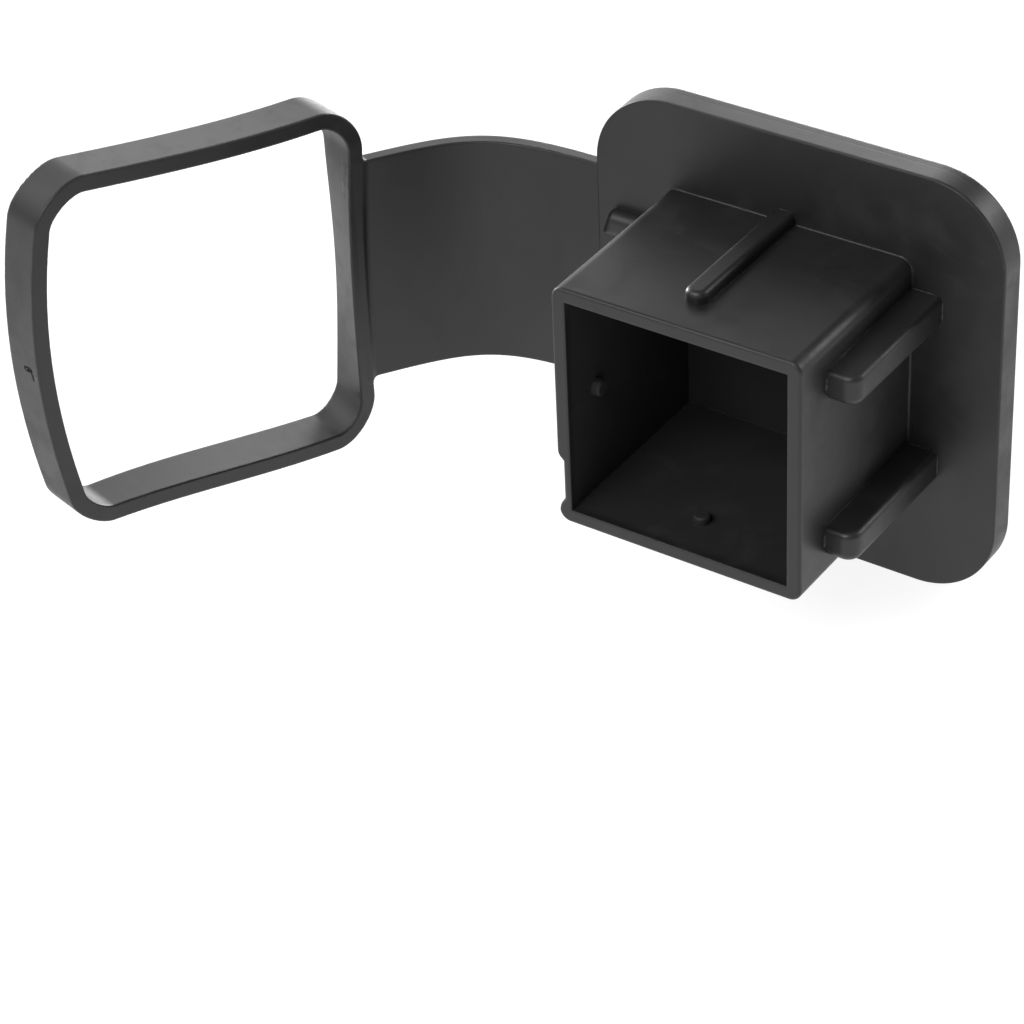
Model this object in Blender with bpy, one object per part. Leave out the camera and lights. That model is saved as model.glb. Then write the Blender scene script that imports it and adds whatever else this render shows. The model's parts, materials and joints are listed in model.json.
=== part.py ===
"""Hitch receiver cover: a hollow push-in plug, its face plate, a strap and a tether loop, moulded as one piece.

Metres, +Z up. The origin is on the plug's axis, in the plane of the plate's back face, which seats on the
mouth of the receiver tube. The plug points along -Y, the plate faces +Y, and the strap leaves towards -X.
"""
import math

import bmesh
import bpy
from mathutils import Matrix, Vector

PLUG_WIDTH = 0.0466
PLUG_HEIGHT = 0.0463
PLUG_DEPTH = 0.0356
PLUG_WALL = 0.0026
PLUG_CORNER_RADIUS = 0.0022
MOUTH_EDGE_RADIUS = 0.0006

PLATE_WIDTH = 0.0772
PLATE_HEIGHT = 0.0794
PLATE_THICKNESS = 0.0054
PLATE_CORNER_RADIUS = 0.0145
PLATE_FRONT_EDGE_RADIUS = 0.0004
PLATE_BACK_EDGE_RADIUS = 0.0002
PLATE_SHIFT_X = 0.0014
PLATE_SHIFT_Z = -0.0005
RIM_WIDTH = 0.0021
RECESS_DEPTH = 0.0006
SKIN_THICKNESS = 0.0029

SIDE_RIB_HEIGHT = 0.0056
SIDE_RIB_ROOT_THICKNESS = 0.0063
SIDE_RIB_NOSE_THICKNESS = 0.0057
SIDE_RIB_LENGTH = 0.0278
SIDE_RIB_NOSE_RADIUS = 0.0026
SIDE_RIB_EDGE_RADIUS = 0.0011
SIDE_RIB_LOWER_EDGE_RADIUS = 0.0018
RIB_ROW_SPACING = 0.0305
RIB_ROW_SHIFT_Z = -0.0005
LEVEL_RIB_HEIGHT = 0.00225
LEVEL_RIB_WIDTH = 0.0041
LEVEL_RIB_LENGTH = 0.0290
LEVEL_RIB_SHIFT_X = -0.0006
LEVEL_RIB_NOSE_RADIUS = 0.0018
LEVEL_RIB_EDGE_RADIUS = 0.0011
STUB_REACH = 0.0106
STUB_END_LEAN = 0.0018
STUB_LENGTH = 0.0028
STUB_THICKNESS = 0.0052
STUB_DROP = 0.0010
STUB_END_RADIUS = 0.0012
STUB_EDGE_RADIUS = 0.0022

# The groove's floor, and how far its two sloping walls run from the floor to the plug's side
GROOVE_DEPTH = 0.0011
GROOVE_FLOOR_LOW = -0.0187
GROOVE_FLOOR_HIGH = -0.0111
GROOVE_PAD_RUN = 0.0011
GROOVE_BEAD_RUN = 0.0016

STUD_RADIUS = 0.0015
STUD_HEIGHT = 0.0015
STUD_FROM_MOUTH = 0.0085
SIDE_STUD_Z = -0.0004
BOTTOM_STUD_X = -0.0004

STRAP_WIDTH = 0.0439
STRAP_THICKNESS = 0.0025
STRAP_STEP = 0.0001
STRAP_REACH = 0.0363
STRAP_DROP = 0.0190
STRAP_END_ANGLE = math.radians(56)
STRAP_ROOT_PULL = 0.0227
STRAP_END_PULL = 0.0187
STRAP_EDGE_RADIUS = 0.0003

LOOP_BAND_WIDTH = 0.0082
LOOP_WALL = 0.0030
LOOP_TILT = math.radians(16)
LOOP_SPAN = 0.0612
LOOP_HEIGHT = 0.0648
LOOP_RISE = 0.0096
LOOP_STRAP_SIDE_LEAN = 0.0021
LOOP_FAR_SIDE_LEAN = 0.0007
LOOP_SETBACK = 0.00175
LOOP_EDGE_RADIUS = 0.0003
# How far a side's rear edge lies from its front edge at the side's middle
LOOP_STRAP_SIDE_TWIST = 0.0027
LOOP_BOTTOM_SIDE_TWIST = 0.0007
# Each side's bow outwards at its middle, and how far the bow leans to the side's later end
LOOP_BOTTOM_BOW, LOOP_BOTTOM_SKEW = 0.0001, -0.0013
LOOP_FAR_BOW, LOOP_FAR_SKEW = 0.0045, 0.0006
LOOP_TOP_BOW, LOOP_TOP_SKEW = -0.00125, -0.0005
LOOP_STRAP_BOW, LOOP_STRAP_SKEW = -0.00135, 0.00045
# How far before its corner each side starts to turn
LOOP_STRAP_BOTTOM_TURN = 0.0074
LOOP_FAR_BOTTOM_TURN = 0.0056
LOOP_FAR_TOP_TURN = 0.0071
LOOP_STRAP_TOP_TURN = 0.0081
LOOP_CORNER_PULL = 0.46

# What is buried in a neighbour so that two shapes join, and what a cutter runs past
ROOT_DEPTH = 0.0012
CUTTER_PAST = 0.003
SIDE_STEPS = 10
CORNER_STEPS = 6
STRAP_STEPS = 22
PLATE_CORNER_SEGMENTS = 9
PLUG_CORNER_SEGMENTS = 4
NOSE_SEGMENTS = 5
RIB_EDGE_SEGMENTS = 3
SMALL_EDGE_SEGMENTS = 2
CRISP_EDGE_SEGMENTS = 1
STUD_SEGMENTS = 24

RUBBER_COLOUR = (0.018, 0.018, 0.019, 1.0)
RUBBER_ROUGHNESS = 0.55

PLUG_SIDE = PLUG_WIDTH / 2
PLUG_TOP = PLUG_HEIGHT / 2
PLATE_LEFT = PLATE_SHIFT_X - PLATE_WIDTH / 2
PANEL_Y = PLATE_THICKNESS - RECESS_DEPTH
STRAP_INNER_Y = PANEL_Y - STRAP_STEP - STRAP_THICKNESS
CAVITY_FLOOR_Y = PANEL_Y - SKIN_THICKNESS


def clear_scene():
    for obj in list(bpy.data.objects):
        bpy.data.objects.remove(obj)


def new_collection(name):
    collection = bpy.data.collections.new(name)
    bpy.context.scene.collection.children.link(collection)
    return collection


def rubber():
    material = bpy.data.materials.new("black_rubber")
    material.use_nodes = True
    shader = material.node_tree.nodes["Principled BSDF"]
    shader.inputs["Base Color"].default_value = RUBBER_COLOUR
    shader.inputs["Roughness"].default_value = RUBBER_ROUGHNESS
    shader.inputs["Metallic"].default_value = 0.0
    return material


def block(name, low, high):
    """A box between two corners."""
    low, high = Vector(low), Vector(high)
    mesh = bpy.data.meshes.new(name)
    shape = bmesh.new()
    size = high - low
    bmesh.ops.create_cube(shape, size=1.0, matrix=Matrix.LocRotScale((low + high) / 2, None, size))
    shape.to_mesh(mesh)
    shape.free()
    return bpy.data.objects.new(name, mesh)


def round_edges(obj, chosen, radius, segments):
    """Rounds the edges for which chosen(end, other_end) is true."""
    shape = bmesh.new()
    shape.from_mesh(obj.data)
    edges = [edge for edge in shape.edges if chosen(edge.verts[0].co, edge.verts[1].co)]
    bmesh.ops.bevel(
        shape, geom=edges, offset=radius, offset_type="OFFSET", segments=segments, profile=0.5, affect="EDGES"
    )
    shape.to_mesh(obj.data)
    shape.free()
    return obj


def runs_along(axis):
    """True for an edge parallel to that axis."""
    return lambda a, b: all(abs(a[k] - b[k]) < 1e-6 for k in range(3) if k != axis)


def lies_at(axis, *places):
    """True for an edge whose two ends are both at one of those places along the axis."""
    return lambda a, b: any(abs(a[axis] - place) < 1e-6 and abs(b[axis] - place) < 1e-6 for place in places)


def reaches_past(axis, place, side):
    """True for an edge with an end beyond that place, towards the axis's side 1 or -1."""
    return lambda a, b: max(side * a[axis], side * b[axis]) > side * place


def all_of(*tests):
    return lambda a, b: all(test(a, b) for test in tests)


def flat_solid(name, outlines, thickness, edge_radius, matrix):
    """A flat outline, its first loop the outside and the others holes, as a slab centred on the matrix's XY plane."""
    curve = bpy.data.curves.new(name + "_outline", "CURVE")
    curve.dimensions = "2D"
    curve.fill_mode = "BOTH"
    curve.extrude = thickness / 2 - edge_radius
    curve.bevel_depth = edge_radius
    curve.bevel_resolution = 0
    curve.offset = -edge_radius
    for points in outlines:
        spline = curve.splines.new("POLY")
        spline.points.add(len(points) - 1)
        spline.use_cyclic_u = True
        for place, point in zip(spline.points, points):
            place.co = (point[0], point[1], 0, 1)
    guide = bpy.data.objects.new(name + "_outline", curve)
    guide.matrix_world = matrix
    bpy.context.scene.collection.objects.link(guide)
    bpy.context.view_layer.update()
    mesh = bpy.data.meshes.new_from_object(guide.evaluated_get(bpy.context.evaluated_depsgraph_get()))
    mesh.transform(guide.matrix_world)
    bpy.data.objects.remove(guide)
    shape = bmesh.new()
    shape.from_mesh(mesh)
    bmesh.ops.remove_doubles(shape, verts=shape.verts, dist=1e-6)
    bmesh.ops.recalc_face_normals(shape, faces=shape.faces)
    shape.to_mesh(mesh)
    shape.free()
    return bpy.data.objects.new(name, mesh)


def bezier(start, start_handle, end_handle, end, t):
    rest = 1 - t
    return start * rest**3 + start_handle * 3 * rest**2 * t + end_handle * 3 * rest * t**2 + end * t**3


def bezier_direction(start, start_handle, end_handle, end, t):
    rest = 1 - t
    slope = (start_handle - start) * rest**2 + (end_handle - start_handle) * 2 * rest * t + (end - end_handle) * t**2
    return slope.normalized()


def left_of(direction):
    return Vector((-direction.y, direction.x))


def strap_end():
    """The end of the strap's hollow side, where the loop's near edge starts, and its direction there."""
    direction = Vector((-math.cos(STRAP_END_ANGLE), -math.sin(STRAP_END_ANGLE)))
    return Vector((PLATE_LEFT - STRAP_REACH, STRAP_INNER_Y - STRAP_DROP)), direction


def strap_outline():
    """The strap from above: its hollow side follows one curve, and its outer side lies a thickness away."""
    start = Vector((PLATE_LEFT, STRAP_INNER_Y))
    end, end_direction = strap_end()
    curve = (start, start - Vector((STRAP_ROOT_PULL, 0)), end - end_direction * STRAP_END_PULL, end)
    hollow_side = [Vector((PLATE_LEFT + 4 * ROOT_DEPTH, STRAP_INNER_Y))]
    outer_side = [hollow_side[0] + Vector((0, STRAP_THICKNESS))]
    for step in range(STRAP_STEPS + 1):
        t = step / STRAP_STEPS
        point = bezier(*curve, t)
        hollow_side.append(point)
        outer_side.append(point - left_of(bezier_direction(*curve, t)) * STRAP_THICKNESS)
    # The tip runs on into the middle of the loop's wall, and ends parallel to that wall
    into_loop = Vector((-math.sin(LOOP_TILT), -math.cos(LOOP_TILT)))
    buried = LOOP_SETBACK + LOOP_WALL / 4
    for side in (hollow_side, outer_side):
        depth = (side[-1] - end).dot(into_loop)
        side.append(side[-1] + end_direction * (buried - depth) / end_direction.dot(into_loop))
    return hollow_side + outer_side[::-1]


def loop_side(start, end, bow, skew, start_turn, end_turn):
    """One side of the loop's middle line, without its corners."""
    along = end - start
    outwards = -left_of(along).normalized()
    first, last = start_turn / along.length, 1 - end_turn / along.length
    points = []
    for step in range(SIDE_STEPS + 1):
        t = first + (last - first) * step / SIDE_STEPS
        points.append(start + along * t + outwards * 4 * t * (1 - t) * (bow + skew * (2 * t - 1)))
    return points


def loop_middle():
    """The loop's middle line in its own plane: x away from the strap, y up, from the strap's lower corner."""
    strap_x, far_x = LOOP_SETBACK, LOOP_SETBACK + LOOP_SPAN
    half = LOOP_HEIGHT / 2
    corners = [
        Vector((strap_x + LOOP_STRAP_SIDE_LEAN / 2, -half)),
        Vector((far_x + LOOP_FAR_SIDE_LEAN / 2, LOOP_RISE - half)),
        Vector((far_x - LOOP_FAR_SIDE_LEAN / 2, LOOP_RISE + half)),
        Vector((strap_x - LOOP_STRAP_SIDE_LEAN / 2, half)),
    ]
    turns = [LOOP_STRAP_BOTTOM_TURN, LOOP_FAR_BOTTOM_TURN, LOOP_FAR_TOP_TURN, LOOP_STRAP_TOP_TURN]
    bows = [LOOP_BOTTOM_BOW, LOOP_FAR_BOW, LOOP_TOP_BOW, LOOP_STRAP_BOW]
    skews = [LOOP_BOTTOM_SKEW, LOOP_FAR_SKEW, LOOP_TOP_SKEW, LOOP_STRAP_SKEW]
    sides = [
        loop_side(corners[k], corners[(k + 1) % 4], bows[k], skews[k], turns[k], turns[(k + 1) % 4])
        for k in range(4)
    ]
    points = []
    for k, side in enumerate(sides):
        following = sides[(k + 1) % 4]
        pull = turns[(k + 1) % 4] * LOOP_CORNER_PULL
        leaving = (side[-1] - side[-2]).normalized()
        arriving = (following[1] - following[0]).normalized()
        points += side
        for step in range(1, CORNER_STEPS):
            t = step / CORNER_STEPS
            handles = (side[-1] + leaving * pull, following[0] - arriving * pull)
            points.append(bezier(side[-1], *handles, following[0], t))
    return points


def offset_outline(points, distance):
    """The closed outline moved outwards by distance, for one that runs anticlockwise."""
    moved = []
    for k, point in enumerate(points):
        along = (points[(k + 1) % len(points)] - points[k - 1]).normalized()
        moved.append(point - left_of(along) * distance)
    return moved


def tether_loop():
    middle = loop_middle()
    outside = offset_outline(middle, LOOP_WALL / 2)
    opening = offset_outline(middle, -LOOP_WALL / 2)
    end, _ = strap_end()
    turn = Matrix.Rotation(-math.pi / 2 - LOOP_TILT, 4, "Z") @ Matrix.Rotation(math.pi / 2, 4, "X")
    to_band_centre = Matrix.Translation((0, 0, LOOP_BAND_WIDTH / 2))
    placed = Matrix.Translation((end.x, end.y, 0)) @ turn @ to_band_centre
    loop = flat_solid("tether_loop", [outside, opening[::-1]], LOOP_BAND_WIDTH, LOOP_EDGE_RADIUS, placed)
    twist_sides(loop, placed)
    return loop


def twist_sides(loop, placed):
    """Leans the rear of the strap side towards the strap, and the rear of the bottom side upwards."""
    to_plane = placed.inverted()
    for vertex in loop.data.vertices:
        local = to_plane @ vertex.co
        rearwards = local.z / LOOP_BAND_WIDTH + 0.5
        up = min(abs(local.y) / (LOOP_HEIGHT / 2), 1)
        across = min(abs(2 * local.x / LOOP_SPAN - 1), 1)
        strap_side = max(1 - 2 * max(local.x, 0) / LOOP_SPAN, 0)
        bottom_side = max(-2 * (local.y - LOOP_RISE * local.x / LOOP_SPAN) / LOOP_HEIGHT, 0)
        local.x -= LOOP_STRAP_SIDE_TWIST * rearwards * (1 - up**2) ** 1.5 * strap_side
        local.y += LOOP_BOTTOM_SIDE_TWIST * rearwards * (1 - across**2) * bottom_side
        vertex.co = placed @ local


def strap():
    return flat_solid("strap", [strap_outline()], STRAP_WIDTH, STRAP_EDGE_RADIUS, Matrix.Identity(4))


def face_plate():
    half_width, half_height = PLATE_WIDTH / 2, PLATE_HEIGHT / 2
    low = (PLATE_SHIFT_X - half_width, 0, PLATE_SHIFT_Z - half_height)
    high = (PLATE_SHIFT_X + half_width, PLATE_THICKNESS, PLATE_SHIFT_Z + half_height)
    plate = round_edges(block("face_plate", low, high), runs_along(1), PLATE_CORNER_RADIUS, PLATE_CORNER_SEGMENTS)
    round_edges(plate, lies_at(1, PLATE_THICKNESS), PLATE_FRONT_EDGE_RADIUS, CRISP_EDGE_SEGMENTS)
    return round_edges(plate, lies_at(1, 0), PLATE_BACK_EDGE_RADIUS, CRISP_EDGE_SEGMENTS)


def panel_recess():
    """Cuts the panel inside the plate's rim."""
    half_width, half_height = PLATE_WIDTH / 2 - RIM_WIDTH, PLATE_HEIGHT / 2 - RIM_WIDTH
    low = (PLATE_SHIFT_X - half_width, PANEL_Y, PLATE_SHIFT_Z - half_height)
    high = (PLATE_SHIFT_X + half_width, PLATE_THICKNESS + CUTTER_PAST, PLATE_SHIFT_Z + half_height)
    recess = block("panel_recess", low, high)
    return round_edges(recess, runs_along(1), PLATE_CORNER_RADIUS - RIM_WIDTH, PLATE_CORNER_SEGMENTS)


def rim_gap():
    """Takes the rim away where the strap's outer side runs on from the panel."""
    half = STRAP_WIDTH / 2 - STRAP_EDGE_RADIUS
    low = (PLATE_LEFT - CUTTER_PAST, PANEL_Y, -half)
    high = (PLATE_LEFT + 2 * RIM_WIDTH, PLATE_THICKNESS + CUTTER_PAST, half)
    return block("rim_gap", low, high)


def plug():
    low = (-PLUG_SIDE, -PLUG_DEPTH, -PLUG_TOP)
    high = (PLUG_SIDE, ROOT_DEPTH, PLUG_TOP)
    body = round_edges(block("plug", low, high), runs_along(1), PLUG_CORNER_RADIUS, PLUG_CORNER_SEGMENTS)
    return round_edges(body, lies_at(1, -PLUG_DEPTH), MOUTH_EDGE_RADIUS, CRISP_EDGE_SEGMENTS)


def plug_groove():
    """The long groove in the plug's strap side, sloping down to the corner's bead and up to the pad."""
    low = (-PLUG_SIDE - CUTTER_PAST, -PLUG_DEPTH - CUTTER_PAST, GROOVE_FLOOR_LOW)
    high = (-PLUG_SIDE + GROOVE_DEPTH, ROOT_DEPTH + CUTTER_PAST, GROOVE_FLOOR_HIGH)
    groove = block("plug_groove", low, high)
    beyond = (GROOVE_DEPTH + CUTTER_PAST) / GROOVE_DEPTH
    for vertex in groove.data.vertices:
        if vertex.co.x < -PLUG_SIDE:
            upper = vertex.co.z > (GROOVE_FLOOR_LOW + GROOVE_FLOOR_HIGH) / 2
            vertex.co.z += beyond * (GROOVE_PAD_RUN if upper else -GROOVE_BEAD_RUN)
    return groove


def plug_cavity():
    low = (PLUG_WALL - PLUG_SIDE, -PLUG_DEPTH - CUTTER_PAST, PLUG_WALL - PLUG_TOP)
    high = (PLUG_SIDE - PLUG_WALL, CAVITY_FLOOR_Y, PLUG_TOP - PLUG_WALL)
    return block("plug_cavity", low, high)


def stud(name, centre, turn):
    """A short round stud on a cavity wall, whose foot is inside the wall."""
    mesh = bpy.data.meshes.new(name)
    shape = bmesh.new()
    placed = Matrix.Translation(centre) @ turn
    bmesh.ops.create_cone(
        shape, cap_ends=True, segments=STUD_SEGMENTS, radius1=STUD_RADIUS, radius2=STUD_RADIUS,
        depth=2 * STUD_HEIGHT, matrix=placed,
    )
    shape.to_mesh(mesh)
    shape.free()
    return bpy.data.objects.new(name, mesh)


def cavity_studs():
    place_y = STUD_FROM_MOUTH - PLUG_DEPTH
    side_wall = Vector((PLUG_WALL - PLUG_SIDE, place_y, SIDE_STUD_Z))
    yield stud("side_stud", side_wall, Matrix.Rotation(math.pi / 2, 4, "Y"))
    bottom_wall = Vector((BOTTOM_STUD_X, place_y, PLUG_WALL - PLUG_TOP))
    yield stud("bottom_stud", bottom_wall, Matrix.Identity(4))


def side_rib(name, centre_z):
    """A long rib on the plug's right side, thicker towards the plate."""
    half = SIDE_RIB_NOSE_THICKNESS / 2
    outer = PLUG_SIDE + SIDE_RIB_HEIGHT
    low = (PLUG_SIDE - ROOT_DEPTH, -SIDE_RIB_LENGTH, centre_z - half)
    high = (outer, ROOT_DEPTH, centre_z + half)
    rib = block(name, low, high)
    nose = all_of(lies_at(0, outer), lies_at(1, -SIDE_RIB_LENGTH))
    round_edges(rib, nose, SIDE_RIB_NOSE_RADIUS, NOSE_SEGMENTS)
    for level, radius in ((centre_z + half, SIDE_RIB_EDGE_RADIUS), (centre_z - half, SIDE_RIB_LOWER_EDGE_RADIUS)):
        free = all_of(lies_at(2, level), reaches_past(0, PLUG_SIDE, 1), reaches_past(1, 0, -1))
        round_edges(rib, free, radius, RIB_EDGE_SEGMENTS)
    growth = SIDE_RIB_ROOT_THICKNESS / SIDE_RIB_NOSE_THICKNESS - 1
    for vertex in rib.data.vertices:
        from_nose = vertex.co.y / SIDE_RIB_LENGTH + 1
        vertex.co.z += (vertex.co.z - centre_z) * growth * from_nose
    return rib


def level_rib(name, up):
    """The middle rib of the plug's top side (up 1) or bottom side (up -1)."""
    half = LEVEL_RIB_WIDTH / 2
    crest = up * (PLUG_TOP + LEVEL_RIB_HEIGHT)
    low_z, high_z = sorted((up * (PLUG_TOP - ROOT_DEPTH), crest))
    low = (LEVEL_RIB_SHIFT_X - half, -LEVEL_RIB_LENGTH, low_z)
    rib = block(name, low, (LEVEL_RIB_SHIFT_X + half, ROOT_DEPTH, high_z))
    nose = all_of(runs_along(2), lies_at(1, -LEVEL_RIB_LENGTH))
    round_edges(rib, nose, LEVEL_RIB_NOSE_RADIUS, NOSE_SEGMENTS)
    free = all_of(lies_at(2, crest), reaches_past(1, 0, -1))
    return round_edges(rib, free, LEVEL_RIB_EDGE_RADIUS, SMALL_EDGE_SEGMENTS)


def stub_rib(name, centre_z):
    """A short rib on the plug's strap side, low against the plate, its end leaning outwards below."""
    half = STUB_THICKNESS / 2
    outer = -PLUG_SIDE - STUB_REACH
    low = (outer, -STUB_LENGTH, centre_z - half)
    high = (GROOVE_DEPTH + ROOT_DEPTH / 2 - PLUG_SIDE, ROOT_DEPTH, centre_z + half)
    rib = block(name, low, high)
    end = all_of(lies_at(0, outer), runs_along(1))
    round_edges(rib, end, STUB_END_RADIUS, RIB_EDGE_SEGMENTS)
    free = all_of(lies_at(1, -STUB_LENGTH), reaches_past(0, -PLUG_SIDE, -1))
    round_edges(rib, free, STUB_EDGE_RADIUS, RIB_EDGE_SEGMENTS)
    for vertex in rib.data.vertices:
        if vertex.co.x < -PLUG_SIDE:
            vertex.co.x -= STUB_END_LEAN * (centre_z + half - vertex.co.z) / STUB_THICKNESS
    return rib


def shape_with(target, tool, operation):
    modifier = target.modifiers.new(tool.name, "BOOLEAN")
    modifier.operation = operation
    modifier.solver = "EXACT"
    modifier.object = tool


def keep_hidden(tool, collection):
    collection.objects.link(tool)
    tool.hide_render = True
    tool.display_type = "WIRE"


def hitch_cover():
    parts = new_collection("hitch_cover")
    tools = new_collection("cutters")
    cover = face_plate()
    cover.name = "hitch_cover"
    parts.objects.link(cover)

    plug_body = plug()
    groove = plug_groove()
    shape_with(plug_body, groove, "DIFFERENCE")
    keep_hidden(groove, tools)
    added = [plug_body, strap(), tether_loop(), level_rib("top_rib", 1), level_rib("bottom_rib", -1)]
    for side, word in ((1, "upper"), (-1, "lower")):
        row = RIB_ROW_SHIFT_Z + side * RIB_ROW_SPACING / 2
        added.append(side_rib(word + "_side_rib", row))
        added.append(stub_rib(word + "_stub_rib", row - STUB_DROP))
    for tool in added:
        shape_with(cover, tool, "UNION")
        keep_hidden(tool, tools)
    for tool in (panel_recess(), rim_gap(), plug_cavity()):
        shape_with(cover, tool, "DIFFERENCE")
        keep_hidden(tool, tools)
    for tool in cavity_studs():
        shape_with(cover, tool, "UNION")
        keep_hidden(tool, tools)
    return cover


clear_scene()
cover = hitch_cover()
cover.data.materials.append(rubber())
cover.data.shade_smooth()
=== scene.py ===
"""The hitch receiver cover as it looks: one moulding of satin black rubber on a pale studio floor.

The moulding is one smooth closed form. Each feature is a signed distance, a number below zero inside it, and
the features blend into one another with the small fillets of a mould. A fine mesh is then drawn round the
places where the joined distance is zero. Metres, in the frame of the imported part: +Z up, the plug along -Y,
the strap and the loop towards -X.
"""
import json
import math
from functools import partial

import bpy
import numpy as np
from mathutils import Matrix, Vector

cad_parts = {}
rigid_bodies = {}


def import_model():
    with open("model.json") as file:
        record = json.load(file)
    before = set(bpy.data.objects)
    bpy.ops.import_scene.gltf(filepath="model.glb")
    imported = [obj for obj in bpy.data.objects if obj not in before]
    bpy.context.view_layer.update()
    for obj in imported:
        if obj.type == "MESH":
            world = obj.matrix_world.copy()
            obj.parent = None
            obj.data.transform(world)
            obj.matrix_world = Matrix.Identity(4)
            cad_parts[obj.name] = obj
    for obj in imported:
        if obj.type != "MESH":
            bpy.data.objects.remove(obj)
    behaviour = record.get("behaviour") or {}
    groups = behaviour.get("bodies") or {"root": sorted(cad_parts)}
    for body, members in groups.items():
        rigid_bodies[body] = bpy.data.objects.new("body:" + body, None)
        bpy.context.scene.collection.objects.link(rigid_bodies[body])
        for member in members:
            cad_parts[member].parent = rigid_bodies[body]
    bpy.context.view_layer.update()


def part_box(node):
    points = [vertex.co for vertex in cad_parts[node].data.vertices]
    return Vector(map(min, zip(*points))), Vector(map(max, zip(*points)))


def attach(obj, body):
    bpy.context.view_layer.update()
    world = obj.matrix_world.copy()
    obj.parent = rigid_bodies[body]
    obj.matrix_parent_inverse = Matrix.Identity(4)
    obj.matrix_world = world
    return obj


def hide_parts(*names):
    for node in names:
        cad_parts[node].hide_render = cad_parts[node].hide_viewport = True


for startup_object in list(bpy.data.objects):
    bpy.data.objects.remove(startup_object)
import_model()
cover_low, cover_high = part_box("hitch_cover")

# The plug
PLUG_WIDTH = 0.0466
PLUG_HEIGHT = 0.0463
PLUG_DEPTH = 0.0356
PLUG_WALL = 0.0026
PLUG_CORNER_RADIUS = 0.0022
MOUTH_EDGE_RADIUS = 0.0006
CAVITY_CORNER_RADIUS = 0.00002
CAVITY_EDGE_RADIUS = 0.0003
PLUG_SIDE = PLUG_WIDTH / 2
PLUG_TOP = PLUG_HEIGHT / 2
CAVITY_LEFT = PLUG_WALL - PLUG_SIDE
CAVITY_BOTTOM = PLUG_WALL - PLUG_TOP

# The face plate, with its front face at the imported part's highest Y
PLATE_WIDTH = 0.0772
PLATE_HEIGHT = 0.0794
PLATE_THICKNESS = cover_high.y
PLATE_CORNER_RADIUS = 0.0145
PLATE_FRONT_EDGE_RADIUS = 0.0004
PLATE_BACK_EDGE_RADIUS = 0.0002
PLATE_CENTRE_X = cover_high.x - PLATE_WIDTH / 2
PLATE_CENTRE_Z = cover_low.z + PLATE_HEIGHT / 2
PLATE_LEFT = PLATE_CENTRE_X - PLATE_WIDTH / 2
RIM_WIDTH = 0.0021
RECESS_DEPTH = 0.0006
RECESS_EDGE_RADIUS = 0.0005
SKIN_THICKNESS = 0.0029
PANEL_Y = PLATE_THICKNESS - RECESS_DEPTH
CAVITY_FLOOR_Y = PANEL_Y - SKIN_THICKNESS

# The ribs
SIDE_RIB_HEIGHT = 0.0056
SIDE_RIB_ROOT_THICKNESS = 0.0063
SIDE_RIB_NOSE_THICKNESS = 0.0057
SIDE_RIB_LENGTH = 0.0278
SIDE_RIB_NOSE_RADIUS = 0.0026
SIDE_RIB_EDGE_RADIUS = 0.0011
SIDE_RIB_LOWER_EDGE_RADIUS = 0.0018
RIB_ROWS = (-0.0005 + 0.0305 / 2, -0.0005 - 0.0305 / 2)
LEVEL_RIB_HEIGHT = 0.00225
LEVEL_RIB_WIDTH = 0.0041
LEVEL_RIB_LENGTH = 0.0290
LEVEL_RIB_CENTRE_X = -0.0006
LEVEL_RIB_NOSE_RADIUS = 0.0019
LEVEL_RIB_EDGE_RADIUS = 0.0011
STUB_REACH = 0.0106
STUB_END_LEAN = 0.0018
STUB_LENGTH = 0.0028
STUB_THICKNESS = 0.0052
STUB_DROP = 0.0010
STUB_END_RADIUS = 0.0012
STUB_EDGE_RADIUS = 0.0022

# The strap side's groove, and the hollow's two studs
GROOVE_DEPTH = 0.0011
GROOVE_FLOOR_LOW = -0.0187
GROOVE_FLOOR_HIGH = -0.0111
GROOVE_PAD_RUN = 0.0011
GROOVE_BEAD_RUN = 0.0016
GROOVE_FILLET = 0.0008
STUD_RADIUS = 0.0015
STUD_HEIGHT = 0.0015
STUD_EDGE_RADIUS = 0.0004
STUD_Y = 0.0085 - PLUG_DEPTH
SIDE_STUD_Z = -0.0004
BOTTOM_STUD_X = -0.0004

# The strap, a strip along one curve seen from above
STRAP_WIDTH = 0.0439
STRAP_THICKNESS = 0.0025
STRAP_STEP = 0.0001
STRAP_REACH = 0.0363
STRAP_DROP = 0.0190
STRAP_END_ANGLE = math.radians(56)
STRAP_ROOT_PULL = 0.0227
STRAP_END_PULL = 0.0187
STRAP_EDGE_RADIUS = 0.0003
STRAP_INNER_Y = PANEL_Y - STRAP_STEP - STRAP_THICKNESS
STRAP_POINTS = 40

# The tether loop, a bowed square band in a plane of its own
LOOP_BAND_WIDTH = 0.0082
LOOP_WALL = 0.0030
LOOP_TILT = math.radians(16)
LOOP_SPAN = 0.0612
LOOP_HEIGHT = 0.0648
LOOP_RISE = 0.0096
LOOP_STRAP_SIDE_LEAN = 0.0021
LOOP_FAR_SIDE_LEAN = 0.0007
LOOP_SETBACK = 0.00175
LOOP_EDGE_RADIUS = 0.0003
LOOP_STRAP_SIDE_TWIST = 0.0027
LOOP_BOTTOM_SIDE_TWIST = 0.0007
# The sides in order: bottom, far, top, strap. Bow outwards, its lean to the side's end, the turn at its start
LOOP_BOWS = (0.0001, 0.0045, -0.00125, -0.00135)
LOOP_SKEWS = (-0.0013, 0.0006, -0.0005, 0.00045)
LOOP_TURNS = (0.0074, 0.0056, 0.0071, 0.0081)
LOOP_CORNER_PULL = 0.46
LOOP_SIDE_POINTS = 16
LOOP_TURN_POINTS = 29

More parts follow.
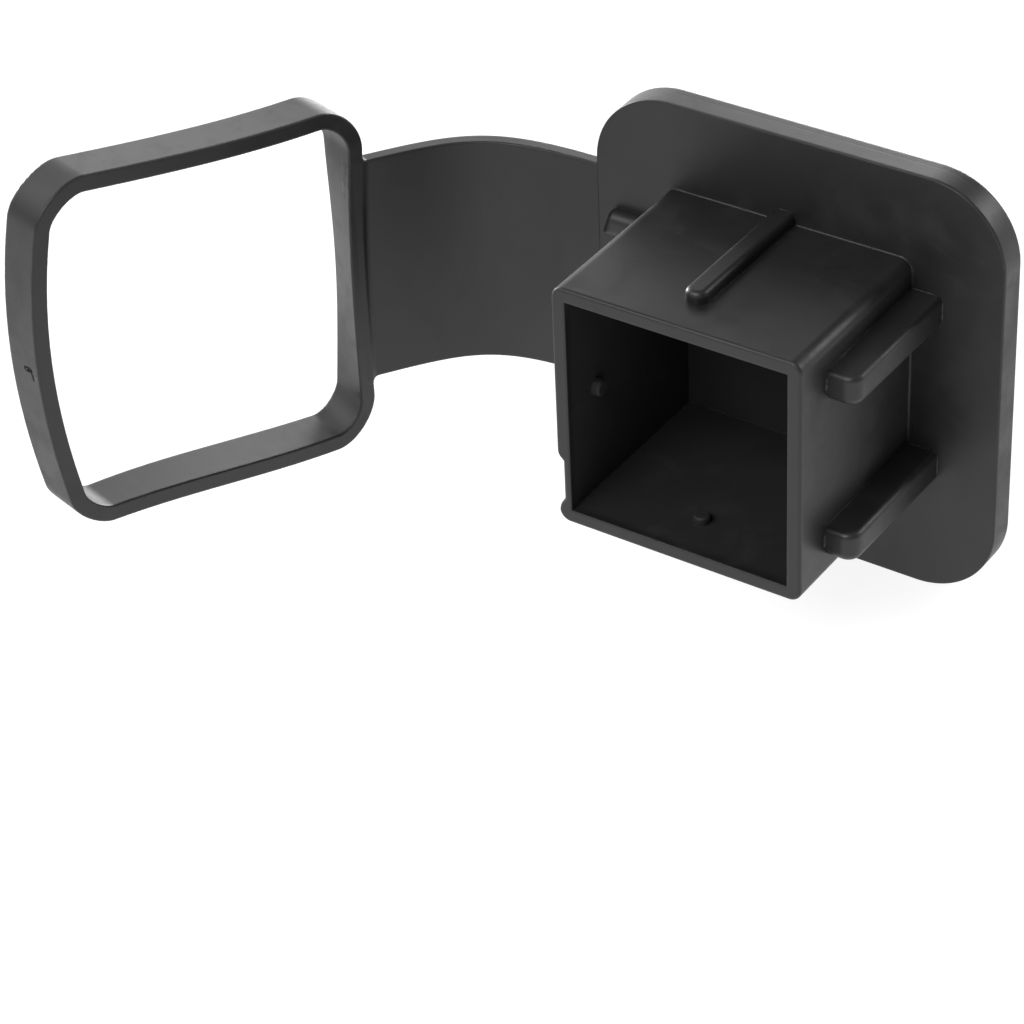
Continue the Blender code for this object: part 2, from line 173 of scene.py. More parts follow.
# The nick where the loop was cut from its runner, and the scratch that leads away from it
NICK = ((-0.09608, -0.08204, 0.00944), (-0.09468, -0.08244, 0.00971))
SCRATCH = ((-0.09455, -0.08248, 0.00939), (-0.09417, -0.08257, 0.00819))
NICK_RADIUS = 0.0005
SCRATCH_RADIUS = 0.0003

# The fillets between features, how deep a piece is sunk in its neighbour, how far a cut runs past
MOULD_FILLET = 0.00016
RIB_FILLET = 0.00004
STRAP_ROOT_FILLET = 0.0004
LOOP_ROOT_FILLET = 0.0014
BURIED = 0.0012
PAST = 0.003
FAR_AWAY = 1.0

# The mesh: the steps that measure a slope, and what counts as a crease
CELL = 0.0003
MOST_TRIANGLES = 190000
NUDGE = 0.000015
CREASE_NUDGE = 0.00006
LEAST_STEEPNESS = 0.05
CREASE_BEND = 0.08
CREASE_LOOK = 0.9 * CELL
CREASE_SPREAD = 0.8 * CELL
CREASE_MOVE = 0.7 * CELL
CREASE_HOLD = 0.15
SMOOTH_COSINE = 0.94


def hypot_of(*values):
    return np.sqrt(sum(value * value for value in values))


def rounded_rectangle(a, b, low, high, radius):
    """Distance, in a plane, to a rectangle with rounded corners."""
    over_a = np.abs(a - (low[0] + high[0]) / 2) - (high[0] - low[0]) / 2 + radius
    over_b = np.abs(b - (low[1] + high[1]) / 2) - (high[1] - low[1]) / 2 + radius
    outside = hypot_of(np.maximum(over_a, 0), np.maximum(over_b, 0))
    return outside + np.minimum(np.maximum(over_a, over_b), 0) - radius


def slab(outline, height, low, high, edge_radius):
    """Distance to a flat outline made thick between two heights, the long edges rounded."""
    across = outline + edge_radius
    along = np.abs(height - (low + high) / 2) - (high - low) / 2 + edge_radius
    outside = hypot_of(np.maximum(across, 0), np.maximum(along, 0))
    return outside + np.minimum(np.maximum(across, along), 0) - edge_radius


def blended(first, second, fillet):
    """The union of two distances, with a fillet where they meet."""
    near = np.clip(0.5 + 0.5 * (second - first) / fillet, 0, 1)
    return second + (first - second) * near - fillet * near * (1 - near)


def carved(solid, cutter, edge):
    """The first distance less the second, the cut's edge rounded."""
    return -blended(-solid, cutter, edge)


def bezier(start, start_handle, end_handle, end, t):
    rest = 1 - t
    t, rest = t[:, None], rest[:, None]
    return start * rest**3 + start_handle * 3 * rest**2 * t + end_handle * 3 * rest * t**2 + end * t**3


def to_path(a, b, path):
    """In a plane, the distance from each point to an open path."""
    nearest = np.full(np.broadcast(a, b).shape, FAR_AWAY, np.float32)
    for (start_a, start_b), (end_a, end_b) in zip(path[:-1], path[1:]):
        run_a, run_b = end_a - start_a, end_b - start_b
        from_a, from_b = a - start_a, b - start_b
        share = np.clip((from_a * run_a + from_b * run_b) / (run_a**2 + run_b**2), 0, 1)
        nearest = np.minimum(nearest, (from_a - share * run_a) ** 2 + (from_b - share * run_b) ** 2)
    return np.sqrt(nearest)


def face_plate(x, y, z):
    half_width, half_height = PLATE_WIDTH / 2, PLATE_HEIGHT / 2
    low = (PLATE_CENTRE_X - half_width, PLATE_CENTRE_Z - half_height)
    high = (PLATE_CENTRE_X + half_width, PLATE_CENTRE_Z + half_height)
    outline = rounded_rectangle(x, z, low, high, PLATE_CORNER_RADIUS)
    edge_radius = np.where(y < PLATE_THICKNESS / 2, PLATE_BACK_EDGE_RADIUS, PLATE_FRONT_EDGE_RADIUS)
    return slab(outline, y, 0, PLATE_THICKNESS, edge_radius)


def panel_recess(x, y, z):
    """The shallow front panel inside the rim. It runs out over the strap, where the plate has no rim."""
    half_width, half_height = PLATE_WIDTH / 2 - RIM_WIDTH, PLATE_HEIGHT / 2 - RIM_WIDTH
    low = (PLATE_CENTRE_X - half_width, PLATE_CENTRE_Z - half_height)
    high = (PLATE_CENTRE_X + half_width, PLATE_CENTRE_Z + half_height)
    panel = rounded_rectangle(x, z, low, high, PLATE_CORNER_RADIUS - RIM_WIDTH)
    half = STRAP_WIDTH / 2 - STRAP_EDGE_RADIUS
    start, end = (PLATE_LEFT - PAST, -half), (PLATE_LEFT + 2 * RIM_WIDTH, half)
    run_out = rounded_rectangle(x, z, start, end, MOULD_FILLET)
    outline = blended(panel, run_out, RECESS_EDGE_RADIUS)
    return slab(outline, y, PANEL_Y, PLATE_THICKNESS + PAST, RECESS_EDGE_RADIUS)


def plug(x, y, z):
    outline = rounded_rectangle(x, z, (-PLUG_SIDE, -PLUG_TOP), (PLUG_SIDE, PLUG_TOP), PLUG_CORNER_RADIUS)
    return slab(outline, y, -PLUG_DEPTH, BURIED, MOUTH_EDGE_RADIUS)


def plug_groove(x, y, z):
    """The long groove of the strap side, sloping up to the corner's round bead below and to the pad above."""
    from_floor = x + PLUG_SIDE - GROOVE_DEPTH
    pad_slope, bead_slope = np.hypot(GROOVE_PAD_RUN, GROOVE_DEPTH), np.hypot(GROOVE_BEAD_RUN, GROOVE_DEPTH)
    to_pad = ((z - GROOVE_FLOOR_HIGH) * GROOVE_DEPTH + from_floor * GROOVE_PAD_RUN) / pad_slope
    to_bead = ((GROOVE_FLOOR_LOW - z) * GROOVE_DEPTH + from_floor * GROOVE_BEAD_RUN) / bead_slope
    return np.maximum(np.maximum(to_pad, to_bead), from_floor) + 0 * y


def plug_cavity(x, y, z):
    low, high = (CAVITY_LEFT, CAVITY_BOTTOM), (-CAVITY_LEFT, -CAVITY_BOTTOM)
    outline = rounded_rectangle(x, z, low, high, CAVITY_CORNER_RADIUS)
    return slab(outline, y, -PLUG_DEPTH - PAST, CAVITY_FLOOR_Y, CAVITY_CORNER_RADIUS)


def stud(across, along, height):
    """A short round stud where height runs from zero at the wall."""
    return slab(hypot_of(across, along) - STUD_RADIUS, height, -PLUG_WALL / 2, STUD_HEIGHT, STUD_EDGE_RADIUS)


def side_stud(x, y, z):
    """The stud on the hollow's strap-side wall."""
    return stud(y - STUD_Y, z - SIDE_STUD_Z, x - CAVITY_LEFT)


def bottom_stud(x, y, z):
    """The stud on the hollow's bottom wall."""
    return stud(x - BOTTOM_STUD_X, y - STUD_Y, z - CAVITY_BOTTOM)


def side_rib(row, x, y, z):
    """A long rib on the plug's right side, thicker towards the plate, its nose round."""
    from_nose = np.clip(y / SIDE_RIB_LENGTH + 1, 0, 1)
    thickness = SIDE_RIB_NOSE_THICKNESS + (SIDE_RIB_ROOT_THICKNESS - SIDE_RIB_NOSE_THICKNESS) * from_nose
    low, high = (0, -SIDE_RIB_LENGTH), (PLUG_SIDE + SIDE_RIB_HEIGHT, 2 * SIDE_RIB_LENGTH)
    outline = rounded_rectangle(x, y, low, high, SIDE_RIB_NOSE_RADIUS)
    edge_radius = np.where(z < row, SIDE_RIB_LOWER_EDGE_RADIUS, SIDE_RIB_EDGE_RADIUS)
    return slab(outline, z - row, -thickness / 2, thickness / 2, edge_radius)


def level_rib(up, x, y, z):
    """The middle rib of the plug's top (up 1) or bottom (up -1)."""
    half = LEVEL_RIB_WIDTH / 2
    low = (LEVEL_RIB_CENTRE_X - half, -LEVEL_RIB_LENGTH)
    high = (LEVEL_RIB_CENTRE_X + half, 2 * LEVEL_RIB_LENGTH)
    outline = rounded_rectangle(x, y, low, high, LEVEL_RIB_NOSE_RADIUS)
    return slab(outline, up * z, 0, PLUG_TOP + LEVEL_RIB_HEIGHT, LEVEL_RIB_EDGE_RADIUS)


def stub_rib(row, x, y, z):
    """A short rib on the strap side, low against the plate, its end leaning outwards below."""
    half = STUB_THICKNESS / 2
    leaning = x + STUB_END_LEAN * (row + half - z) / STUB_THICKNESS
    low, high = (-PLUG_SIDE - STUB_REACH, row - half), (0, row + half)
    outline = rounded_rectangle(leaning, z, low, high, STUB_END_RADIUS)
    return slab(outline, y, -STUB_LENGTH, BURIED, STUB_EDGE_RADIUS)


def cut_along(ends, radius, x, y, z):
    """Distance to a round-ended cut between two points."""
    run = np.subtract(ends[1], ends[0])
    from_start = [place - start for place, start in zip((x, y, z), ends[0])]
    share = np.clip(sum(offset * step for offset, step in zip(from_start, run)) / (run @ run), 0, 1)
    return hypot_of(*(offset - share * step for offset, step in zip(from_start, run))) - radius


def strap_path():
    """The middle of the strap's thickness, from inside the plate to inside the loop's wall."""
    direction = np.array((-math.cos(STRAP_END_ANGLE), -math.sin(STRAP_END_ANGLE)))
    start = np.array((PLATE_LEFT, STRAP_INNER_Y))
    end = np.array((PLATE_LEFT - STRAP_REACH, STRAP_INNER_Y - STRAP_DROP))
    handles = start - (STRAP_ROOT_PULL, 0), end - direction * STRAP_END_PULL
    curve = bezier(start, *handles, end, np.linspace(0, 1, STRAP_POINTS))
    along = np.gradient(curve, axis=0)
    along /= np.linalg.norm(along, axis=1, keepdims=True)
    middle = curve + np.stack((along[:, 1], -along[:, 0]), axis=1) * STRAP_THICKNESS / 2
    return np.vstack((middle[0] + (2 * BURIED, 0), middle, middle[-1] + direction * LOOP_SETBACK))


def strap(x, y, z):
    outline = to_path(x, y, strap_path()) - STRAP_THICKNESS / 2
    half = STRAP_WIDTH / 2
    return slab(outline, z, -half, half, STRAP_EDGE_RADIUS)


def loop_side(start, end, bow, skew, start_turn, end_turn):
    """One side of the loop's middle line, without its corners."""
    length = np.linalg.norm(end - start)
    outwards = np.array(((end - start)[1], -(end - start)[0])) / length
    t = np.linspace(start_turn / length, 1 - end_turn / length, LOOP_SIDE_POINTS)[:, None]
    return start + (end - start) * t + outwards * 4 * t * (1 - t) * (bow + skew * (2 * t - 1))


def loop_path():
    """The closed middle line of the loop's wall in its own plane: away from the strap, and up."""
    strap_end, far_end = LOOP_SETBACK, LOOP_SETBACK + LOOP_SPAN
    half = LOOP_HEIGHT / 2
    corners = np.array((
        (strap_end + LOOP_STRAP_SIDE_LEAN / 2, -half),
        (far_end + LOOP_FAR_SIDE_LEAN / 2, LOOP_RISE - half),
        (far_end - LOOP_FAR_SIDE_LEAN / 2, LOOP_RISE + half),
        (strap_end - LOOP_STRAP_SIDE_LEAN / 2, half),
    ))
    sides = []
    for k in range(4):
        following = (k + 1) % 4
        ends = (corners[k], corners[following])
        sides.append(loop_side(*ends, LOOP_BOWS[k], LOOP_SKEWS[k], LOOP_TURNS[k], LOOP_TURNS[following]))
    path = []
    for k, side in enumerate(sides):
        following = sides[(k + 1) % 4]
        pull = LOOP_TURNS[(k + 1) % 4] * LOOP_CORNER_PULL
        leaving = (side[-1] - side[-2]) / np.linalg.norm(side[-1] - side[-2])
        arriving = (following[1] - following[0]) / np.linalg.norm(following[1] - following[0])
        handles = side[-1] + leaving * pull, following[0] - arriving * pull
        turn = bezier(side[-1], *handles, following[0], np.linspace(0, 1, LOOP_TURN_POINTS)[1:-1])
        path += [side, turn]
    path.append(sides[0][:1])
    return np.vstack(path)


def tether_loop(x, y, z):
    """The band round the loop's path, a little twisted, as soft rubber lies."""
    from_end_x, from_end_y = x - (PLATE_LEFT - STRAP_REACH), y - (STRAP_INNER_Y - STRAP_DROP)
    away = -from_end_x * math.sin(LOOP_TILT) - from_end_y * math.cos(LOOP_TILT)
    rearwards = -from_end_x * math.cos(LOOP_TILT) + from_end_y * math.sin(LOOP_TILT)
    share = np.clip(rearwards / LOOP_BAND_WIDTH, 0, 1)
    up = np.clip(np.abs(z) / (LOOP_HEIGHT / 2), 0, 1)
    across = np.clip(np.abs(2 * away / LOOP_SPAN - 1), 0, 1)
    strap_side = np.clip(1 - 2 * np.maximum(away, 0) / LOOP_SPAN, 0, 1)
    bottom_side = np.maximum(-2 * (z - LOOP_RISE * away / LOOP_SPAN) / LOOP_HEIGHT, 0)
    away = away + LOOP_STRAP_SIDE_TWIST * share * (1 - up**2) ** 1.5 * strap_side
    level = z - LOOP_BOTTOM_SIDE_TWIST * share * (1 - across**2) * bottom_side
    outline = to_path(away, level, loop_path()) - LOOP_WALL / 2
    return slab(outline, rearwards, 0, LOOP_BAND_WIDTH, LOOP_EDGE_RADIUS)


class Feature:
    """A distance, what it does to the solid so far, and the box outside which it does nothing."""

    def __init__(self, distance, low, high, blend, add=True):
        self.distance, self.blend, self.add = distance, blend, add
        self.low, self.high = np.array(low) - PAST, np.array(high) + PAST

    def apply(self, solid, x, y, z):
        if self.add:
            return blended(solid, self.distance(x, y, z), self.blend)
        return carved(solid, self.distance(x, y, z), self.blend)


def features():
    """The cover's features in the order in which they join and cut."""
    plate_low = (PLATE_LEFT, 0, cover_low.z)
    plate_high = (cover_high.x, PLATE_THICKNESS, PLATE_CENTRE_Z + PLATE_HEIGHT / 2)
    plug_low, plug_high = (-PLUG_SIDE, -PLUG_DEPTH, -PLUG_TOP), (PLUG_SIDE, BURIED, PLUG_TOP)
    found = [Feature(plug, plug_low, plug_high, MOULD_FILLET)]
    found.append(Feature(plug_groove, plug_low, (-PLUG_SIDE, BURIED, 0), GROOVE_FILLET, add=False))
    found.append(Feature(face_plate, plate_low, plate_high, MOULD_FILLET))
    for row in RIB_ROWS:
        rib_bottom, rib_top = row - SIDE_RIB_ROOT_THICKNESS / 2, row + SIDE_RIB_ROOT_THICKNESS / 2
        rib_low = (PLUG_SIDE, -SIDE_RIB_LENGTH, rib_bottom)
        rib_high = (PLUG_SIDE + SIDE_RIB_HEIGHT, 0, rib_top)
        found.append(Feature(partial(side_rib, row), rib_low, rib_high, RIB_FILLET))
        stub_low = (-PLUG_SIDE - STUB_REACH - STUB_END_LEAN, -STUB_LENGTH, rib_bottom)
        stub_high = (-PLUG_SIDE, 0, rib_top)
        found.append(Feature(partial(stub_rib, row - STUB_DROP), stub_low, stub_high, RIB_FILLET))
    for up in (1, -1):
        levels = sorted((up * PLUG_TOP, up * (PLUG_TOP + LEVEL_RIB_HEIGHT)))
        low = (LEVEL_RIB_CENTRE_X - LEVEL_RIB_WIDTH, -LEVEL_RIB_LENGTH, levels[0])
        high = (LEVEL_RIB_CENTRE_X + LEVEL_RIB_WIDTH, 0, levels[1])
        found.append(Feature(partial(level_rib, up), low, high, RIB_FILLET))
    strap_end = (PLATE_LEFT - STRAP_REACH, STRAP_INNER_Y - STRAP_DROP)
    half = STRAP_WIDTH / 2
    found.append(Feature(strap, (*strap_end, -half), (PLATE_LEFT, PANEL_Y, half), STRAP_ROOT_FILLET))
    loop_low = (cover_low.x, cover_low.y, -LOOP_HEIGHT / 2)
    loop_high = (strap_end[0] + BURIED, strap_end[1] + LOOP_BAND_WIDTH, cover_high.z)
    found.append(Feature(tether_loop, loop_low, loop_high, LOOP_ROOT_FILLET))
    panel_low = (PLATE_LEFT, PANEL_Y, cover_low.z)
    found.append(Feature(panel_recess, panel_low, plate_high, RECESS_EDGE_RADIUS, add=False))
    cavity_high = (PLUG_SIDE, CAVITY_FLOOR_Y, PLUG_TOP)
    found.append(Feature(plug_cavity, plug_low, cavity_high, CAVITY_EDGE_RADIUS, add=False))
    side_place = np.array((CAVITY_LEFT, STUD_Y, SIDE_STUD_Z))
    bottom_place = np.array((BOTTOM_STUD_X, STUD_Y, CAVITY_BOTTOM))
    for shape, place in ((side_stud, side_place), (bottom_stud, bottom_place)):
        found.append(Feature(shape, place - STUD_RADIUS, place + STUD_RADIUS, RIB_FILLET))
    for ends, radius in ((NICK, NICK_RADIUS), (SCRATCH, SCRATCH_RADIUS)):
        corners = np.sort(ends, axis=0)
        found.append(Feature(partial(cut_along, ends, radius), corners[0], corners[1], RIB_FILLET, add=False))
    return found


def distance_grid(found, low, counts):
    """The solid's distance at each corner of a grid of cells."""
    axes = [low[k] + CELL * np.arange(counts[k]) for k in range(3)]
    grid = np.full(counts, FAR_AWAY, np.float32)
    for feature in found:
        spans = []
        for k in range(3):
            first = np.searchsorted(axes[k], feature.low[k])
            last = np.searchsorted(axes[k], feature.high[k])
            spans.append(slice(first, last))
        x, y, z = (axes[k][spans[k]].astype(np.float32) for k in range(3))
        part = grid[tuple(spans)]
        grid[tuple(spans)] = feature.apply(part, x[:, None, None], y[None, :, None], z[None, None, :])
    return grid


def distance_at(found, points):
    """The solid's distance at scattered points."""
    distance = np.full(len(points), FAR_AWAY)
    for feature in found:
        near = ((points >= feature.low) & (points <= feature.high)).all(axis=1)
        distance[near] = feature.apply(distance[near], *points[near].T)
    return distance


def cells_and_quads(grid):
    """The cells that the surface passes through, and the quads that join their middles."""
    inside = grid < 0
    corners = np.zeros([n - 1 for n in grid.shape], np.uint8)
    for step in np.ndindex(2, 2, 2):
        corners += inside[tuple(slice(s, n - 1 + s) for s, n in zip(step, grid.shape))]
    crossed = (corners > 0) & (corners < 8)
    cells = np.argwhere(crossed)
    number = np.full(crossed.shape, -1)
    number[crossed] = np.arange(len(cells))
    quads = []
    for axis in range(3):
        others = [k for k in range(3) if k != axis]
        lower = tuple(slice(1, n - 1) if k in others else slice(0, n - 1) for k, n in enumerate(grid.shape))
        upper = tuple(slice(1, n - 1) if k in others else slice(1, n) for k, n in enumerate(grid.shape))
        for leaves in (True, False):
            edges = np.argwhere((inside[lower] == leaves) & (inside[upper] != leaves))
            edges[:, others] += 1
            ring = []
            for back_a, back_b in ((1, 1), (0, 1), (0, 0), (1, 0)):
                cell = edges.copy()
                cell[:, others[0]] -= back_a
                cell[:, others[1]] -= back_b
                ring.append(number[tuple(cell.T)])
            turn = 1 if leaves == (axis != 1) else -1
            quads.append(np.stack(ring[::turn], axis=1))
    return cells, np.vstack(quads)


def slope_at(found, points, nudge=NUDGE):
    """How the distance grows along each axis."""
    slope = np.empty_like(points)
    for k in range(3):
        shift = np.zeros(3)
        shift[k] = nudge
        slope[:, k] = (distance_at(found, points + shift) - distance_at(found, points - shift)) / (2 * nudge)
    return slope


def no_further(moves, most):
    """The moves, those longer than most cut back to it."""
    length = np.linalg.norm(moves, axis=1, keepdims=True)
    return moves * np.minimum(1, most / np.maximum(length, 1e-9))


def settled(found, points, rounds):
    """The points moved along the slope of the distance until it is zero."""
    for _ in range(rounds):
        distance = distance_at(found, points)
        slope = slope_at(found, points)
        steepness = np.maximum((slope**2).sum(axis=1), LEAST_STEEPNESS)
        points = points - no_further(slope * (distance / steepness)[:, None], CELL / 2)
    return points


def creased(found, points):
    """Moves the points beside a crease on to it, where the planes of the faces round each point meet."""
    bend = slope_at(found, points, CREASE_LOOK) - slope_at(found, points)
    beside = np.linalg.norm(bend, axis=1) > CREASE_BEND
    near = points[beside]
    spread = np.zeros((len(near), 3, 3))
    pull = np.zeros((len(near), 3))
    for corner in np.ndindex(2, 2, 2):
        sample = near + CREASE_SPREAD * (np.array(corner) - 0.5)
        slope = slope_at(found, sample)
        height = (slope * sample).sum(axis=1) - distance_at(found, sample)
        spread += slope[:, :, None] * slope[:, None, :]
        pull += slope * height[:, None]
    held = pull + CREASE_HOLD * near
    met = np.linalg.solve(spread + CREASE_HOLD * np.eye(3), held[:, :, None])[:, :, 0]
    points = points.copy()
    points[beside] = near + no_further(met - near, CREASE_MOVE)
    return points


def corner_normals(found, mesh, points):
    """The normal at each face's corner: the surface's own, but the face's side of it at a crease."""
    whole = slope_at(found, points)
    whole /= np.maximum(np.linalg.norm(whole, axis=1, keepdims=True), 1e-9)
    corners = np.empty(len(mesh.loops), np.int64)
    mesh.loops.foreach_get("vertex_index", corners)
    sides = np.empty(len(mesh.polygons), np.int64)
    mesh.polygons.foreach_get("loop_total", sides)
    centres = np.empty(3 * len(mesh.polygons))
    mesh.polygons.foreach_get("center", centres)
    inwards = np.repeat(centres.reshape(-1, 3), sides, axis=0) - points[corners]
    at_side = slope_at(found, points[corners] + no_further(inwards, CREASE_NUDGE))
    at_side /= np.maximum(np.linalg.norm(at_side, axis=1, keepdims=True), 1e-9)
    smooth = (at_side * whole[corners]).sum(axis=1, keepdims=True) > SMOOTH_COSINE
    return np.where(smooth, whole[corners], at_side)


def moulded_cover():
    found = features()
    low = np.array(cover_low) - 2 * CELL
    counts = [int(span / CELL) + 5 for span in (cover_high - cover_low)]
    cells, quads = cells_and_quads(distance_grid(found, low, counts))
    points = settled(found, low + CELL * (cells + 0.5), 3)
    points = settled(found, creased(found, points), 1)
    mesh = bpy.data.meshes.new("rubber_cover")
    mesh.from_pydata(points.tolist(), [], quads.tolist())
    cover = bpy.data.objects.new("rubber_cover", mesh)
    bpy.context.scene.collection.objects.link(cover)
    thinned(cover, MOST_TRIANGLES / (2 * len(quads)))
    mesh = cover.data
    mesh.validate()
    points = settled(found, np.array([vertex.co for vertex in mesh.vertices]), 1)
    mesh.vertices.foreach_set("co", points.ravel())
    mesh.update()
    mesh.shade_smooth()
    mesh.normals_split_custom_set(corner_normals(found, mesh, points).tolist())
    return cover


def thinned(piece, share):
    """Leaves that share of the piece's triangles, most of them where it curves."""
    if share >= 1:
        return
    modifier = piece.modifiers.new("thinned", "DECIMATE")
    modifier.ratio = share
    bpy.context.view_layer.update()
    mesh = bpy.data.meshes.new_from_object(piece.evaluated_get(bpy.context.evaluated_depsgraph_get()))
    piece.modifiers.remove(modifier)
    whole = piece.data
    piece.data = mesh
    bpy.data.meshes.remove(whole)
    mesh.name = piece.name


# The camera, at the photograph's angle
CAMERA_PLACE = (0.25659, -0.44216, 0.33426)
CAMERA_RIGHT = (0.8305, 0.5555, -0.0407)
CAMERA_UP = (-0.2978, 0.5046, 0.8103)
CAMERA_LENS = 127.43

# The softly glowing floor and the lamps: each softbox's azimuth, elevation, size and power
FLOOR_SIZE = 8.0
FLOOR_TONE = 0.2
FLOOR_GLOW = 0.9
ROOM_TONE = 0.15
LAMP_TARGET = Vector((-0.03, -0.01, 0))
LAMP_DISTANCE = 1.2
LAMPS = {
    "front": (270, 45, (0.6, 0.5), 8.2),
    "front_left": (235, 41, (0.6, 0.5), 3.1),
    "low_behind": (105, 8, (0.4, 0.3), 13.4),
    "low_left": (165, 8, (0.4, 0.3), 18.0),
    "low_corner": (140, 10, (0.9, 0.35), 2.0),
    "high_corner": (135, 42, (0.8, 0.55), 1.3),
    "lifted_corner": (130, 24, (0.6, 0.3), 0.8),
    "behind_right": (50, 25, (0.6, 0.4), 5.0),
    "overhead": (0, 75, (0.7, 0.7), 0.5),
}

# The rubber: its tone, roughness and grain. Sizes are a pattern's repeats to the metre
RUBBER_TONE = (0.011, 0.011, 0.0115, 1)
CHALKY_TONE = (0.017, 0.017, 0.0175, 1)
LEAST_ROUGHNESS = 0.35
CLOUD_DULLNESS = 0.1
MOTTLE_DULLNESS = 0.08
SMUDGE_DULLNESS = 0.12
HOLLOW_DULLNESS = 0.25
CLOUD_SIZE = 38
MOTTLE_SIZE = 260
SMUDGE_SIZE = 95
GRAIN_SIZE = 2600
GRAIN_DEPTH = 0.000006
RIPPLE_SIZE = 120
RIPPLE_STRETCH = (1.0, 1.0, 0.4)
RIPPLE_DEPTH = 0.00003
PARTING_Y = 0.0036
PARTING_WIDTH = 0.00022
PARTING_DEPTH = 0.00001
# The width over which the hollow's duller skin and its painted shade begin
SKIN_CHANGE = 0.0003


def studio_floor():
    bpy.ops.mesh.primitive_plane_add(size=FLOOR_SIZE, location=(0, 0, cover_low.z))
    floor = bpy.context.object
    floor.name = "studio_floor"
    material = bpy.data.materials.new("pale_floor")
    material.use_nodes = True
    shader = material.node_tree.nodes["Principled BSDF"]
    shader.inputs["Base Color"].default_value = (FLOOR_TONE, FLOOR_TONE, FLOOR_TONE, 1)
    shader.inputs["Roughness"].default_value = 0.9
    shader.inputs["Emission Color"].default_value = (1, 1, 1, 1)
    shader.inputs["Emission Strength"].default_value = FLOOR_GLOW
    floor.data.materials.append(material)


def camera():
    data = bpy.data.cameras.new("camera")
    data.lens = CAMERA_LENS
    eye = bpy.data.objects.new("camera", data)
    right, up = Vector(CAMERA_RIGHT).normalized(), Vector(CAMERA_UP).normalized()
    back = right.cross(up)
    eye.matrix_world = Matrix((
        (right.x, up.x, back.x, CAMERA_PLACE[0]),
        (right.y, up.y, back.y, CAMERA_PLACE[1]),
        (right.z, up.z, back.z, CAMERA_PLACE[2]),
        (0, 0, 0, 1),
    ))
    bpy.context.scene.collection.objects.link(eye)
    bpy.context.scene.camera = eye


def softbox(name, azimuth, elevation, size, watts):
    data = bpy.data.lights.new(name, "AREA")
    data.shape = "RECTANGLE"
    data.size, data.size_y = size
    data.energy = watts
    lamp = bpy.data.objects.new(name, data)
    azimuth, elevation = math.radians(azimuth), math.radians(elevation)
    level = math.cos(elevation)
    away = Vector((math.cos(azimuth) * level, math.sin(azimuth) * level, math.sin(elevation)))
    lamp.location = LAMP_TARGET + away * LAMP_DISTANCE
    lamp.rotation_euler = (-away).to_track_quat("-Z", "Y").to_euler()
    bpy.context.scene.collection.objects.link(lamp)


def room():
    world = bpy.data.worlds.new("room")
    world.use_nodes = True
    world.node_tree.nodes["Background"].inputs["Color"].default_value = (ROOM_TONE, ROOM_TONE, ROOM_TONE, 1)
    bpy.context.scene.world = world


class Signal:
    """An output of a material's node. Python's operators on signals and numbers add Math nodes."""

    def __init__(self, socket):
        self.socket = socket

    def node(self, kind, settings, values, output=0):
        """Adds a node: its settings first, then its sockets' values or links."""
        tree = self.socket.id_data
        added = tree.nodes.new(kind)
        for name, value in settings.items():
            setattr(added, name, value)
        for name, value in values.items():
            if isinstance(value, Signal):
                tree.links.new(value.socket, added.inputs[name])
            else:
                added.inputs[name].default_value = value
        return Signal(added.outputs[output])

    def maths(self, operation, first, second=0.0):
        return self.node("ShaderNodeMath", {"operation": operation}, {0: first, 1: second})

    def __add__(self, other):
        return self.maths("ADD", self, other)

    def __radd__(self, other):
        return self.maths("ADD", other, self)

    def __sub__(self, other):
        return self.maths("SUBTRACT", self, other)

    def __rsub__(self, other):
        return self.maths("SUBTRACT", other, self)

    def __mul__(self, other):
        return self.maths("MULTIPLY", self, other)

    def __rmul__(self, other):
        return self.maths("MULTIPLY", other, self)

    def __abs__(self):
        return self.maths("ABSOLUTE", self)

    def noise(self, size, detail=2.0, roughness=0.5, distortion=0.0):
        """Noise at this place, between 0 and 1."""
        return self.node("ShaderNodeTexNoise", {}, {
            "Vector": self, "Scale": size, "Detail": detail, "Roughness": roughness, "Distortion": distortion,
        })

    def stretched(self, scale):
        return self.node("ShaderNodeVectorMath", {"operation": "MULTIPLY"}, {0: self, 1: scale})

    def along(self, axis):
        return self.node("ShaderNodeSeparateXYZ", {}, {0: self}, axis)

    def between(self, low, high):
        """0 at low and below, 1 at high and above, smooth in between."""
        ends = {"Value": self, "From Min": low, "From Max": high}
        return self.node("ShaderNodeMapRange", {"interpolation_type": "SMOOTHSTEP"}, ends)

    def mixed(self, first, second):
        """The first colour where this is 0, the second where it is 1."""
        return self.node("ShaderNodeMix", {"data_type": "RGBA"}, {"Factor": self, 6: first, 7: second}, 2)

    def bumped(self, depth, normal=None):
        """The normal that this height gives, over an earlier normal if there is one."""
        values = {"Height": self, "Distance": depth}
        if normal:
            values["Normal"] = normal
        return self.node("ShaderNodeBump", {}, values)


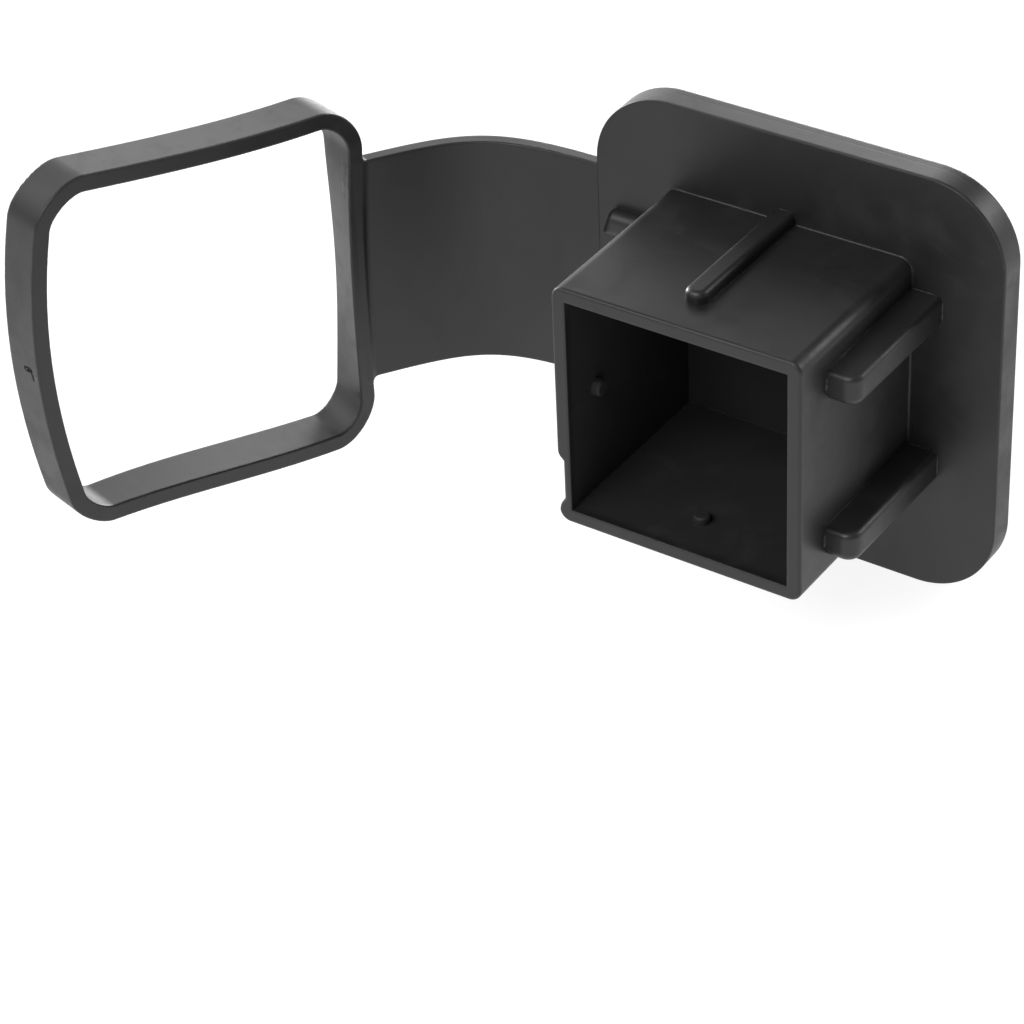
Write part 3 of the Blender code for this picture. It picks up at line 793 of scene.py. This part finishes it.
def black_rubber():
    """Satin rubber: cloudy tone, chalky smudges, mottled gloss, grain, a parting line, a duller hollow
    darkened with painted shade.
    """
    material = bpy.data.materials.new("black_rubber")
    material.use_nodes = True
    tree = material.node_tree
    shader = tree.nodes["Principled BSDF"]
    place = Signal(tree.nodes.new("ShaderNodeTexCoord").outputs["Object"])
    clouds = place.noise(CLOUD_SIZE, 3.0)
    mottle = place.noise(MOTTLE_SIZE, 4.0, 0.6)
    smudges = (place.noise(SMUDGE_SIZE, 5.0, 0.65, 0.6) + 0.35 * clouds).between(0.62, 0.88)
    parting = 1 - abs(place.along(1) - PARTING_Y).between(0.0, PARTING_WIDTH)
    across, inwards, up = (place.along(axis) for axis in range(3))
    # The hollow mask: a rougher skin inside the plug, and also painted shade that darkens the tone in the
    # recess
    hollow = (
        (PLUG_SIDE - PLUG_WALL / 2 - abs(across)).between(0.0, SKIN_CHANGE)
        * (PLUG_TOP - PLUG_WALL / 2 - abs(up)).between(0.0, SKIN_CHANGE)
        * (CAVITY_FLOOR_Y + SKIN_THICKNESS / 4 - inwards).between(0.0, SKIN_CHANGE)
        * (inwards + PLUG_DEPTH).between(0.0, PLUG_WALL)
    )
    grain = place.noise(GRAIN_SIZE, 2.0)
    ripple = place.stretched(RIPPLE_STRETCH).noise(RIPPLE_SIZE, 1.0)
    # The hollow term lowers the tone: painted shade inside the plug's recess
    tone = 0.45 * clouds + 0.25 * mottle + 0.5 * smudges - 0.2 - 0.3 * parting - 0.2 * hollow
    dullness = CLOUD_DULLNESS * clouds + MOTTLE_DULLNESS * mottle + SMUDGE_DULLNESS * smudges
    moulded = (1 - parting).bumped(PARTING_DEPTH)
    links = {
        "Base Color": tone.between(0.0, 1.0).mixed(RUBBER_TONE, CHALKY_TONE),
        "Roughness": LEAST_ROUGHNESS + dullness + HOLLOW_DULLNESS * hollow,
        "Normal": grain.bumped(GRAIN_DEPTH, ripple.bumped(RIPPLE_DEPTH, moulded)),
    }
    for name, signal in links.items():
        tree.links.new(signal.socket, shader.inputs[name])
    return material


cover = moulded_cover()
cover.data.materials.append(black_rubber())
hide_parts("hitch_cover")
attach(cover, "root")
studio_floor()
camera()
room()
for lamp_name, lamp in LAMPS.items():
    softbox(lamp_name, *lamp)
bpy.context.scene.view_settings.view_transform = "Standard"
